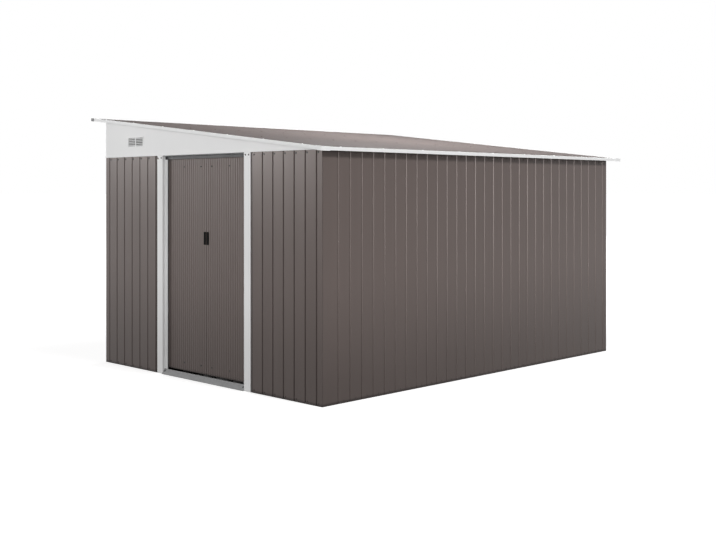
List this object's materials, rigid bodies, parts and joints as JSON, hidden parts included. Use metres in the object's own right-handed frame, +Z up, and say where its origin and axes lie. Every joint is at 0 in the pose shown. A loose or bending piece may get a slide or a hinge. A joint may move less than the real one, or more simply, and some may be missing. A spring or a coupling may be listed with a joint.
{
  "type": "metal storage shed",
  "caption": "Metal garden storage shed with grooved taupe wall sheets, a single-slope roof with white trim, a louvred gable vent and hung sliding double doors.",
  "frame": {"origin": "on the ground at the middle of the walls' footprint", "axes": "+X to the right along the door front, +Y from the front to the back, +Z up"},
  "size_m": [2.7487, 3.57, 1.9886],
  "materials": {
    "taupe_paint": "satin baked enamel",
    "white_paint": "satin baked enamel",
    "galvanised_steel": "dull zinc",
    "black_plastic": "moulded, fine grain",
    "grey_plastic": "moulded, fine grain"
  },
  "bodies": {
    "shell": {"front_base_rails": "galvanised_steel", "left_base_rail": "galvanised_steel", "right_base_rail": "galvanised_steel", "back_base_rail": "galvanised_steel", "front_left_corner_post": "galvanised_steel", "front_right_corner_post": "galvanised_steel", "back_left_corner_post": "galvanised_steel", "back_right_corner_post": "galvanised_steel", "front_wall_left": "taupe_paint", "front_wall_right": "taupe_paint", "left_wall": "taupe_paint", "right_wall": "taupe_paint", "back_wall": "taupe_paint", "front_top_rail": "galvanised_steel", "back_top_rail": "galvanised_steel", "left_eave_rail": "galvanised_steel", "right_eave_rail": "galvanised_steel", "wall_mid_rails": "galvanised_steel", "left_door_post": "white_paint", "right_door_post": "white_paint", "post_brackets": "white_paint", "door_sill": "galvanised_steel", "top_track": "galvanised_steel", "bottom_track": "galvanised_steel", "front_gable": "white_paint", "back_gable": "white_paint", "front_vent": "white_paint", "back_vent": "white_paint", "roof_beams": "galvanised_steel", "roof_panels": "taupe_paint", "front_roof_trim": "white_paint", "back_roof_trim": "white_paint", "left_roof_trim": "white_paint", "right_roof_trim": "white_paint", "roof_corner_caps": "white_paint", "roof_end_plugs": "grey_plastic"},
    "left_door": {"left_door_leaf": "taupe_paint", "left_door_handle": "black_plastic", "left_door_brace": "galvanised_steel", "left_door_hangers": "black_plastic", "left_door_guides": "black_plastic"},
    "right_door": {"right_door_leaf": "taupe_paint", "right_door_handle": "black_plastic", "right_door_brace": "galvanised_steel", "right_door_hangers": "black_plastic", "right_door_guides": "black_plastic"}
  },
  "joints": [
    {"name": "left_door_slide", "type": "slide", "parent": "shell", "child": "left_door", "axis": [-1, 0, 0], "range_m": [0, 0.42]},
    {"name": "right_door_slide", "type": "slide", "parent": "shell", "child": "right_door", "axis": [1, 0, 0], "range_m": [0, 0.42]}
  ]
}
